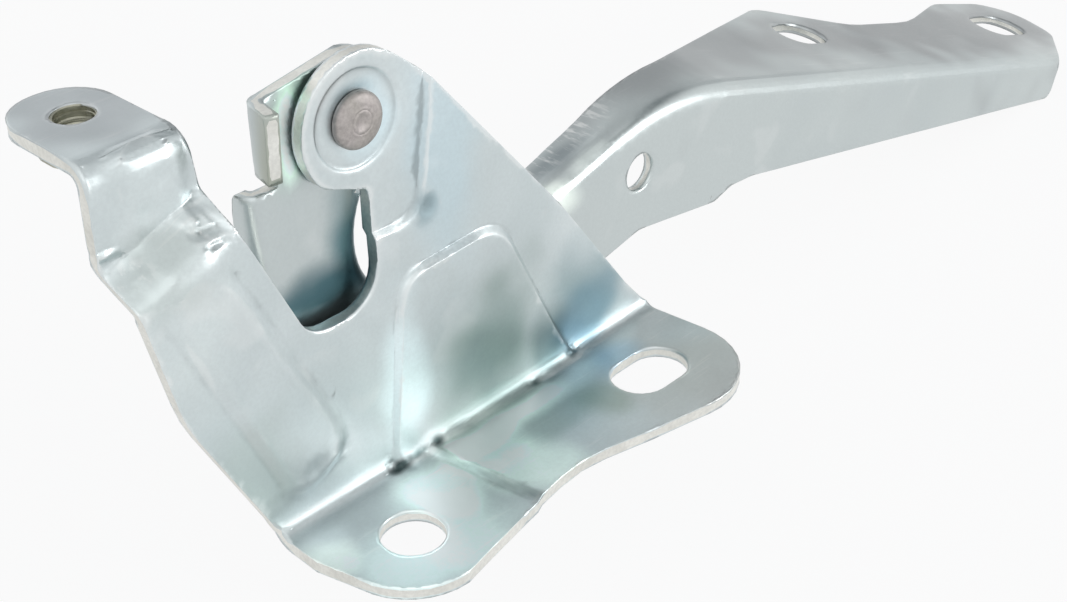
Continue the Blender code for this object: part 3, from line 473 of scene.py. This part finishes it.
def zinc_cloud_group():
    """Soft clouding of a plating bath: lighter and deeper patches with fine speckle."""
    tree, start, end = group("zinc_cloud", [
        ("Light", "NodeSocketColor", (0.62, 0.67, 0.69, 1)),
        ("Deep", "NodeSocketColor", (0.4, 0.46, 0.48, 1)),
        ("Cloud Size", "NodeSocketFloat", 45.0),
        ("Speckle", "NodeSocketFloat", 0.1),
    ], [("Color", "NodeSocketColor"), ("Roughness", "NodeSocketFloat"), ("Height", "NodeSocketFloat")])
    place = node(tree, "ShaderNodeTexCoord").outputs["Object"]
    cloud = node(tree, "ShaderNodeTexNoise", {"Detail": 3.0, "Roughness": 0.55, "Distortion": 0.4})
    tree.links.new(place, cloud.inputs["Vector"])
    tree.links.new(start.outputs["Cloud Size"], cloud.inputs["Scale"])
    patches = ramp(tree, cloud.outputs[0], [(0.36, 0.0), (0.62, 1.0)])
    fine = node(tree, "ShaderNodeTexNoise", {"Scale": 1400.0, "Detail": 2.0, "Roughness": 0.6})
    tree.links.new(place, fine.inputs["Vector"])
    base = mixed(tree, patches, start.outputs["Deep"], start.outputs["Light"])
    speck = ramp(tree, fine.outputs[0], [(0.35, 0.0), (0.65, 1.0)])
    shade = maths(tree, "MULTIPLY_ADD", speck, start.outputs["Speckle"], 1.0)
    shade = maths(tree, "SUBTRACT", shade, maths(tree, "MULTIPLY", start.outputs["Speckle"], 0.5))
    tinted = node(tree, "ShaderNodeVectorMath", operation="SCALE")
    tree.links.new(base, tinted.inputs[0])
    tree.links.new(shade, tinted.inputs["Scale"])
    tree.links.new(tinted.outputs[0], end.inputs["Color"])
    rough = maths(tree, "MULTIPLY_ADD", patches, -0.08, 0.36)
    rough = maths(tree, "ADD", rough, maths(tree, "MULTIPLY", speck, 0.06))
    tree.links.new(rough, end.inputs["Roughness"])
    tree.links.new(maths(tree, "MULTIPLY_ADD", fine.outputs[0], 0.3, patches), end.inputs["Height"])
    return tree


def handling_group():
    """Fine scratches from handling, as a mask and a height."""
    tree, start, end = group("handling_marks", [
        ("Amount", "NodeSocketFloat", 0.3),
        ("Scale", "NodeSocketFloat", 60.0),
    ], [("Mask", "NodeSocketFloat"), ("Height", "NodeSocketFloat")])
    place = node(tree, "ShaderNodeTexCoord").outputs["Object"]
    total = None
    for turn, stretch in ((0.5, 14.0), (2.1, 18.0), (1.3, 10.0)):
        mapping = node(tree, "ShaderNodeMapping", {"Rotation": (0.7 * turn, 0.3, turn), "Scale": (1.0, stretch, 1.0)})
        tree.links.new(place, mapping.inputs["Vector"])
        lines = node(tree, "ShaderNodeTexNoise", {"Detail": 2.0, "Distortion": 0.2})
        tree.links.new(mapping.outputs[0], lines.inputs["Vector"])
        tree.links.new(start.outputs["Scale"], lines.inputs["Scale"])
        mark = ramp(tree, lines.outputs[0], [(0.66, 0.0), (0.72, 1.0)])
        total = mark if total is None else maths(tree, "MAXIMUM", total, mark)
    mask = maths(tree, "MULTIPLY", total, start.outputs["Amount"])
    tree.links.new(mask, end.inputs["Mask"])
    tree.links.new(maths(tree, "MULTIPLY", mask, -1.0), end.inputs["Height"])
    return tree


def smooth_share(tree, value, low, high):
    """A soft step: 0 at low, 1 at high."""
    made = node(tree, "ShaderNodeMapRange", interpolation_type="SMOOTHSTEP")
    tree.links.new(value, made.inputs["Value"])
    made.inputs["From Min"].default_value = low
    made.inputs["From Max"].default_value = high
    return made.outputs["Result"]


ZONE_INPUTS = [
    ("Centre", "NodeSocketVector", (0, 0, 0)),
    ("Reach", "NodeSocketVector", (0.01, 0.01, 0.01)),
    ("Place", "NodeSocketVector", (0, 0, 0)),
    ("Ragged", "NodeSocketVector", (0, 0, 0)),
]


def ragged_shift(tree, place):
    """A noise vector about zero that frays the borders of zones."""
    ragged = node(tree, "ShaderNodeTexNoise", {"Scale": 90.0, "Detail": 3.0})
    tree.links.new(place, ragged.inputs["Vector"])
    shift = node(tree, "ShaderNodeVectorMath", {1: (0.5, 0.5, 0.5)}, operation="SUBTRACT")
    tree.links.new(ragged.outputs["Color"], shift.inputs[0])
    return shift.outputs[0]


def zone_mask(tree, start):
    """Share of an oval zone round the Centre input, with a ragged soft border."""
    away = node(tree, "ShaderNodeVectorMath", operation="SUBTRACT")
    tree.links.new(start.outputs["Place"], away.inputs[0])
    tree.links.new(start.outputs["Centre"], away.inputs[1])
    scaled = node(tree, "ShaderNodeVectorMath", operation="DIVIDE")
    tree.links.new(away.outputs[0], scaled.inputs[0])
    tree.links.new(start.outputs["Reach"], scaled.inputs[1])
    moved = node(tree, "ShaderNodeVectorMath", {1: (0.55, 0.55, 0.55)}, operation="MULTIPLY_ADD")
    tree.links.new(start.outputs["Ragged"], moved.inputs[0])
    tree.links.new(scaled.outputs[0], moved.inputs[2])
    length = node(tree, "ShaderNodeVectorMath", operation="LENGTH")
    tree.links.new(moved.outputs[0], length.inputs[0])
    return smooth_share(tree, length.outputs["Value"], 1.0, 0.3)


def stretch_group():
    """Fine ridges where the sheet was stretched or pinched in the tool, in an oval zone."""
    tree, start, end = group("stretch_marks", [
        *ZONE_INPUTS,
        ("Turn", "NodeSocketVector", (0, 0, 0)),
        ("Depth", "NodeSocketFloat", 1.0),
    ], [("Mask", "NodeSocketFloat"), ("Height", "NodeSocketFloat"), ("Flecks", "NodeSocketFloat")])
    share = zone_mask(tree, start)
    mapping = node(tree, "ShaderNodeMapping", {"Scale": (1.0, 4.5, 1.0)}, vector_type="TEXTURE")
    tree.links.new(start.outputs["Place"], mapping.inputs["Vector"])
    tree.links.new(start.outputs["Turn"], mapping.inputs["Rotation"])
    ridges = node(tree, "ShaderNodeTexNoise", {"Scale": 620.0, "Detail": 3.0, "Roughness": 0.65})
    tree.links.new(mapping.outputs[0], ridges.inputs["Vector"])
    mask = maths(tree, "MULTIPLY", share, start.outputs["Depth"])
    tree.links.new(mask, end.inputs["Mask"])
    tree.links.new(maths(tree, "MULTIPLY", ridges.outputs[0], mask), end.inputs["Height"])
    flecks = ramp(tree, ridges.outputs[0], [(0.5, 0.0), (0.6, 1.0)])
    tree.links.new(maths(tree, "MULTIPLY", flecks, share), end.inputs["Flecks"])
    return tree


ZINC_CLOUD = zinc_cloud_group()
HANDLING = handling_group()
STRETCH = stretch_group()


def zinc_finish(name, light, deep, cloud=45.0, speckle=0.1, marks=0.25, bump=0.04, stretched=(), crown_and_shading=None,
                dull=0.0):
    """Bright zinc plate over pressed steel, with stretched zones given in millimetres."""
    made = bpy.data.materials.new(name)
    made.use_nodes = True
    tree = made.node_tree
    shader = tree.nodes["Principled BSDF"]
    shader.inputs["Metallic"].default_value = 1.0
    plate = node(tree, "ShaderNodeGroup", node_tree=ZINC_CLOUD)
    plate.inputs["Light"].default_value = (*light, 1.0)
    plate.inputs["Deep"].default_value = (*deep, 1.0)
    plate.inputs["Cloud Size"].default_value = cloud
    plate.inputs["Speckle"].default_value = speckle
    wear = node(tree, "ShaderNodeGroup", node_tree=HANDLING)
    wear.inputs["Amount"].default_value = marks
    colour = mixed(tree, wear.outputs["Mask"], plate.outputs["Color"], (0.78, 0.8, 0.8))
    place = node(tree, "ShaderNodeTexCoord").outputs["Object"]
    frayed = ragged_shift(tree, place)

    def zone(effect, centre, reach):
        made = node(tree, "ShaderNodeGroup", node_tree=effect)
        tree.links.new(place, made.inputs["Place"])
        tree.links.new(frayed, made.inputs["Ragged"])
        made.inputs["Centre"].default_value = Vector(centre) * MM
        made.inputs["Reach"].default_value = Vector(reach) * MM
        return made

    # Multiplies in the stain tint, which holds plating stains and painted shade, highlights and reflections; then
    # darkens the dips as painted shade and pales the bulges toward the crown tone, partly as painted highlight.
    if crown_and_shading:
        tone, share = crown_and_shading
        stain_and_shade = node(tree, "ShaderNodeAttribute", attribute_name="stain_and_shade").outputs["Color"]
        colour = mixed(tree, 1.0, colour, stain_and_shade, "MULTIPLY")
        bend = node(tree, "ShaderNodeAttribute", attribute_name="relief_shading").outputs["Fac"]
        colour = mixed(tree, 1.0, colour, ramp(tree, bend, [(0.1, 0.65), (0.46, 1.0)]), "MULTIPLY")
        colour = mixed(tree, ramp(tree, bend, [(0.54, 0.0), (0.8, share)]), colour, tone)
    rough = maths(tree, "ADD", plate.outputs["Roughness"], dull)
    height = maths(tree, "ADD", plate.outputs["Height"], wear.outputs["Height"])
    for depth, centre, reach, turn in stretched:
        worn = zone(STRETCH, centre, reach)
        worn.inputs["Turn"].default_value = [math.radians(angle) for angle in turn]
        worn.inputs["Depth"].default_value = depth
        height = maths(tree, "ADD", height, worn.outputs["Height"])
        colour = mixed(tree, maths(tree, "MULTIPLY", worn.outputs["Flecks"], 0.6), colour, (0.85, 0.86, 0.85))
        rough = maths(tree, "MULTIPLY_ADD", worn.outputs["Mask"], 0.03, rough)
    tree.links.new(colour, shader.inputs["Base Color"])
    tree.links.new(rough, shader.inputs["Roughness"])
    surface = node(tree, "ShaderNodeBump", {"Strength": bump, "Distance": 0.0004})
    tree.links.new(height, surface.inputs["Height"])
    tree.links.new(surface.outputs[0], shader.inputs["Normal"])
    return made


def dress(piece, finishes, body, slot, *nodes):
    """Gives a finished piece its materials and body and hides the CAD nodes it stands for; the record slot is not
    used.
    """
    for finish in finishes:
        piece.data.materials.append(finish)
    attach(piece, body)
    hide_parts(*nodes)
    return piece


# Pieces

BRACKET_STAINS_AND_SHADING = (
    # Raised panel: painted reflection, a deep cloud darker at its right, and a painted highlight as a pale strip along
    # its left border
    ((0.7, 0.75, 0.72), (34.0, 5.0, 13.0), (22.0, 5.0, 27.0)),
    ((0.6, 0.66, 0.66), (37.5, 5.0, 13.0), (16.0, 5.0, 20.0)),
    ((0.42, 0.5, 0.5), (52.5, 5.5, 9.0), (7.5, 5.0, 11.0)),
    ((1.3, 1.35, 1.36), (14.0, 5.3, 18.0), (7.0, 3.0, 26.0)),
    # Web: painted reflection, blue-grey towards its right end and pale blue beside the pad, letters' place left as
    # plain sheet
    ((0.62, 0.7, 0.72), (64.0, 6.5, 14.0), (17.0, 4.0, 19.0)),
    ((0.62, 0.74, 0.82), (63.0, 6.5, 9.5), (13.0, 4.0, 11.0)),
    ((0.97, 1.04, 1.08), (28.0, 6.5, 62.0), (14.0, 4.0, 30.0)),
    # Painted shade in the dent by the pad's border, a painted highlight round the pivot and painted shade in the
    # rivet's seat
    ((0.62, 0.68, 0.7), (22.6, 6.5, 51.5), (4.2, 3.0, 4.6)),
    ((1.1, 1.2, 1.25), (11.5, 7.8, 72.5), (9.0, 2.0, 9.0)),
    ((0.3, 0.44, 0.5), (8.2, 7.8, 74.7), (7.0, 1.6, 7.0)),
    # Base flange: painted highlights and reflections, pale round the round hole and mottled along the fold, and a
    # painted shade line along the rise
    ((1.5, 1.5, 1.42), (-14.5, -5.0, 2.5), (7.0, 7.0, 4.0)),
    ((1.45, 1.52, 1.48), (-8.0, -18.0, 2.5), (14.0, 16.0, 4.0)),
    ((1.6, 1.65, 1.57), (13.0, -6.0, 2.5), (16.0, 12.0, 4.0)),
    ((1.45, 1.5, 1.45), (25.0, -5.0, 3.3), (10.0, 8.0, 3.0)),
    ((1.4, 1.45, 1.4), (7.0, -19.0, 2.5), (12.0, 16.0, 4.0)),
    ((1.4, 1.45, 1.36), (29.0, -15.0, 3.3), (12.0, 11.0, 4.0)),
    ((1.8, 1.8, 1.7), (36.0, 0.0, 3.3), (26.0, 6.0, 2.5)),
    ((0.76, 0.82, 0.8), (40.0, -7.0, 3.3), (15.0, 6.0, 3.0)),
    ((0.75, 0.78, 0.72), (52.0, -9.0, 3.3), (9.0, 9.0, 3.0)),
    ((0.8, 0.92, 1.02), (64.0, -2.0, 3.3), (9.0, 6.0, 3.0)),
    ((0.9, 0.86, 0.83), (72.0, -18.0, 3.5), (24.0, 18.0, 4.0)),
    *(((0.5, 0.53, 0.53), (18.9 + 0.13 * y, -y, 2.9), (1.8, 4.8, 2.0)) for y in (1.0, 6.0, 11.0, 16.0, 21.0)),
    # Painted shade in the pockets pinched in the fold and at the joggle
    ((0.1, 0.13, 0.13), (10.4, 4.6, 2.6), (3.8, 1.9, 1.9)),
    ((0.1, 0.13, 0.13), (20.3, 4.6, 3.0), (3.2, 2.2, 2.2)),
    ((0.3, 0.36, 0.36), (15.4, 4.8, 3.0), (5.0, 1.5, 1.5)),
    ((0.25, 0.3, 0.3), (46.5, 4.4, 3.2), (4.6, 1.7, 1.4)),
    ((0.3, 0.36, 0.38), (57.6, 5.2, 3.8), (2.4, 2.0, 3.0)),
    ((0.3, 0.32, 0.31), (-20.8, 11.5, 65.2), (4.0, 3.5, 1.3)),
    ((0.45, 0.47, 0.46), (-20.4, 11.0, 63.5), (3.4, 3.5, 1.1)),
    ((0.62, 0.64, 0.63), (-36.5, 9.5, 62.6), (6.5, 4.0, 2.8)),
    # Leg: painted light that makes it paler above, darker patches at the joggle and lower down, and painted shade on
    # the tab's top
    ((1.08, 1.08, 1.07), (-30.0, 9.0, 60.0), (18.0, 8.0, 34.0)),
    ((0.76, 0.77, 0.76), (-28.5, 10.0, 64.5), (9.0, 6.0, 5.0)),
    ((0.85, 0.86, 0.85), (-30.0, 8.0, 58.0), (14.0, 5.0, 6.0)),
    ((0.85, 0.86, 0.84), (-20.0, 6.0, 16.0), (12.0, 5.0, 20.0)),
    ((0.68, 0.67, 0.68), (-29.0, 33.0, 81.0), (26.0, 24.0, 5.0)),
)
BRACKET_STRETCHED = (
    (1.6, (-36.5, 9.5, 63.0), (7.0, 5.0, 3.6), (0.0, 0.0, 0.0)),
    (1.2, (-21.0, 11.5, 65.0), (4.5, 5.0, 3.6), (0.0, 40.0, 0.0)),
)
ARM_STAINS_AND_SHADING = (
    # Painted shade in the hollow behind the notch and below it; between the lip and the lobe a greenish painted
    # reflection, lighter in its middle, and a warmer darker patch left of it
    ((0.2, 0.36, 0.4), (10.5, 11.5, 50.0), (8.5, 5.0, 16.0)),
    ((0.14, 0.26, 0.3), (2.0, 11.5, 42.5), (16.0, 4.0, 7.0)),
    ((0.85, 1.0, 0.9), (0.0, 11.0, 77.0), (9.0, 4.0, 15.0)),
    ((2.2, 2.4, 2.2), (-2.2, 10.8, 75.0), (3.2, 3.0, 11.0)),
    ((0.78, 0.76, 0.66), (-7.0, 6.0, 72.0), (8.0, 6.0, 16.0)),
    # Painted highlight: a white stripe on the web below the crest's bend
    ((1.7, 1.7, 1.6), (60.0, 11.5, 35.0), (9.0, 3.6, 6.0)),
    ((1.4, 1.4, 1.35), (69.0, 11.5, 42.0), (9.0, 3.6, 5.0)),
    ((1.3, 1.3, 1.27), (79.0, 11.5, 46.5), (9.0, 3.6, 4.0)),
    # Greyer flange: painted shade on the crest's bend and the flange's upward faces
    ((0.6, 0.62, 0.64), (64.0, 17.0, 43.0), (15.0, 4.0, 11.0)),
    ((0.76, 0.74, 0.75), (110.0, 29.0, 40.0), (90.0, 17.0, 40.0)),
    ((0.66, 0.64, 0.65), (240.0, 31.0, 8.0), (150.0, 22.0, 60.0)),
)
ARM_STRETCHED = (
    (3.0, (68.0, 20.0, 45.0), (26.0, 6.0, 14.0), (0.0, 0.0, 0.0)),
)

bracket_finish = zinc_finish("bracket_zinc_plate", (0.64, 0.7, 0.71), (0.56, 0.62, 0.63), cloud=28.0, speckle=0.05,
                             stretched=BRACKET_STRETCHED, crown_and_shading=((0.78, 0.81, 0.81), 0.6),
                             dull=0.02)
arm_finish = zinc_finish("arm_zinc_plate", (0.55, 0.6, 0.6), (0.51, 0.56, 0.565), cloud=20.0, speckle=0.04,
                         marks=0.15, stretched=ARM_STRETCHED, crown_and_shading=((0.5, 0.55, 0.55), 0.0))
edge_finish = zinc_finish("sheared_edge", (0.78, 0.78, 0.74), (0.69, 0.69, 0.65), cloud=110.0, speckle=0.12, marks=0.1,
                          bump=0.15, dull=0.08)
rivet_finish = zinc_finish("rivet_dull_plate", (0.43, 0.4, 0.39), (0.38, 0.36, 0.34), cloud=160.0, speckle=0.25,
                           dull=0.22)
bush_finish = zinc_finish("bush_bronze", (0.5, 0.38, 0.2), (0.4, 0.3, 0.15), cloud=160.0)
washer_finish = zinc_finish("washer_zinc_plate", (0.5, 0.54, 0.55), (0.42, 0.46, 0.47), cloud=120.0)
nut_finish = zinc_finish("nut_dull_plate", (0.5, 0.5, 0.42), (0.36, 0.36, 0.29), cloud=150.0, speckle=0.2,
                         dull=0.05)

dress(worked_sheet("body_bracket", "bracket_pressing", 2.5 * MM, 1.7 * MM, 0.3 * MM, 4, bracket_marks,
                   bracket_relief_shade, BRACKET_STAINS_AND_SHADING, FINE_ZONES), (bracket_finish, edge_finish), "bracket", "bracket_zinc",
      "body_bracket")
dress(worked_sheet("bonnet_arm", "arm_pressing", 2.6 * MM, 2.5 * MM, 0.35 * MM, 4, arm_marks, arm_relief_shade,
                   ARM_STAINS_AND_SHADING),
      (arm_finish, edge_finish), "arm", "arm_zinc", "bonnet_arm")
dress(spun_rivet(), (rivet_finish,), "bracket", "rivet_zinc", "pivot_rivet")
dress(rounded_ring("front_spacer", "front_washer", 0.08, 72), (washer_finish,), "bracket", "front_washer_zinc",
      "front_washer")
dress(rounded_ring("rear_spacer", "rear_washer", 0.2, 72), (washer_finish,), "bracket", "rear_washer_zinc",
      "rear_washer")
dress(rounded_ring("bronze_bush", "pivot_bush", 0.2, 72), (bush_finish,), "arm", "bush_bronze", "pivot_bush")
dress(threaded_nut(nut_finish), (nut_finish,), "bracket", "weld_nut_zinc", "weld_nut")


# Studio

def white_where_seen(tree):
    """1 for camera, glossy and transmission rays, which see the floor and the air white."""
    rays = node(tree, "ShaderNodeLightPath")
    seen = maths(tree, "MAXIMUM", rays.outputs["Is Camera Ray"], rays.outputs["Is Glossy Ray"])
    return maths(tree, "MAXIMUM", seen, rays.outputs["Is Transmission Ray"])


def card(name, colour, centre, size):
    """A large plain panel that faces the object, seen only in its reflections."""
    target = Vector((0.08, 0.0, 0.03))
    turn = (target - Vector(centre)).normalized().to_track_quat("Z", "Y").to_matrix()
    corners = [Vector(centre) + turn @ Vector((a * size[0] / 2, b * size[1] / 2, 0.0))
               for a, b in ((-1, -1), (1, -1), (1, 1), (-1, 1))]
    mesh = bpy.data.meshes.new(name)
    mesh.from_pydata(corners, [], [(0, 1, 2, 3)])
    panel = bpy.data.objects.new(name, mesh)
    bpy.context.collection.objects.link(panel)
    paint = bpy.data.materials.new(name)
    paint.use_nodes = True
    tree = paint.node_tree
    glow = node(tree, "ShaderNodeEmission", {"Color": (*colour, 1.0), "Strength": 1.0})
    tree.links.new(glow.outputs[0], tree.nodes["Material Output"].inputs[0])
    mesh.materials.append(paint)
    panel.visible_camera = False
    panel.visible_diffuse = False
    panel.visible_shadow = False


def studio():
    floor_z = CAD_BOX[0][2] - 0.2 * MM
    mesh = bpy.data.meshes.new("studio_floor")
    reach = 3.0
    mesh.from_pydata([(-reach, -reach, floor_z), (reach, -reach, floor_z), (reach, reach, floor_z),
                      (-reach, reach, floor_z)], [], [(0, 1, 2, 3)])
    floor = bpy.data.objects.new("studio_floor", mesh)
    bpy.context.collection.objects.link(floor)
    paper = bpy.data.materials.new("studio_paper")
    paper.use_nodes = True
    tree = paper.node_tree
    shader = tree.nodes["Principled BSDF"]
    shader.inputs["Base Color"].default_value = (0.86, 0.86, 0.86, 1.0)
    shader.inputs["Roughness"].default_value = 0.9
    shader.inputs["Specular IOR Level"].default_value = 0.0
    glow = node(tree, "ShaderNodeEmission", {"Color": (1, 1, 1, 1), "Strength": 1.0})
    seen = white_where_seen(tree)
    mix = node(tree, "ShaderNodeMixShader")
    tree.links.new(maths(tree, "MULTIPLY", seen, 0.9), mix.inputs[0])
    tree.links.new(shader.outputs[0], mix.inputs[1])
    tree.links.new(glow.outputs[0], mix.inputs[2])
    tree.links.new(mix.outputs[0], tree.nodes["Material Output"].inputs[0])
    mesh.materials.append(paper)

    world = bpy.data.worlds.new("studio_air")
    bpy.context.scene.world = world
    world.use_nodes = True
    tree = world.node_tree
    seen = white_where_seen(tree)
    back = tree.nodes["Background"]
    tree.links.new(mixed(tree, seen, (0.55, 0.57, 0.6), (1.0, 1.0, 1.0)), back.inputs["Color"])

    card("studio_ceiling", (0.6, 0.61, 0.62), (0.75, 0.75, 1.1), (2.4, 2.2))
    card("studio_dark_band", (0.14, 0.17, 0.18), (0.85, -0.28, 0.95), (1.3, 0.34))

    for name, spot, size, power in (("key_softbox", (-0.5, -0.75, 0.9), (0.8, 0.8), 1.0),
                                    ("strip_softbox", (0.75, -0.88, 0.3), (0.5, 0.5), 3.2),
                                    ("fill_softbox", (0.2, 0.9, 0.6), (0.9, 0.9), 1.0)):
        lamp = bpy.data.lights.new(name, "AREA")
        lamp.shape = "RECTANGLE"
        lamp.size, lamp.size_y = size
        lamp.energy = power
        holder = bpy.data.objects.new(name, lamp)
        target = Vector((0.08, 0.0, 0.03))
        back_axis = (Vector(spot) - target).normalized()
        holder.matrix_world = Matrix.Translation(spot) @ back_axis.to_track_quat("Z", "Y").to_matrix().to_4x4()
        bpy.context.collection.objects.link(holder)


def photo_camera():
    """The photograph's viewpoint."""
    right = Vector((0.6857, -0.7277, -0.0121))
    up = Vector((0.4018, 0.3646, 0.84))
    back = right.cross(up).normalized()
    up = back.cross(right).normalized()
    right.normalize()
    turn = Matrix((right, up, back)).transposed().to_4x4()
    lens = bpy.data.cameras.new("photo_camera")
    lens.sensor_width = 36.0
    lens.lens = 57.38
    lens.clip_start = 0.01
    eye = bpy.data.objects.new("photo_camera", lens)
    eye.matrix_world = Matrix.Translation(Vector((-150.0, -183.9, 197.9)) * MM) @ turn
    bpy.context.collection.objects.link(eye)
    bpy.context.scene.camera = eye


studio()
photo_camera()
scene = bpy.context.scene
scene.view_settings.view_transform = "Standard"
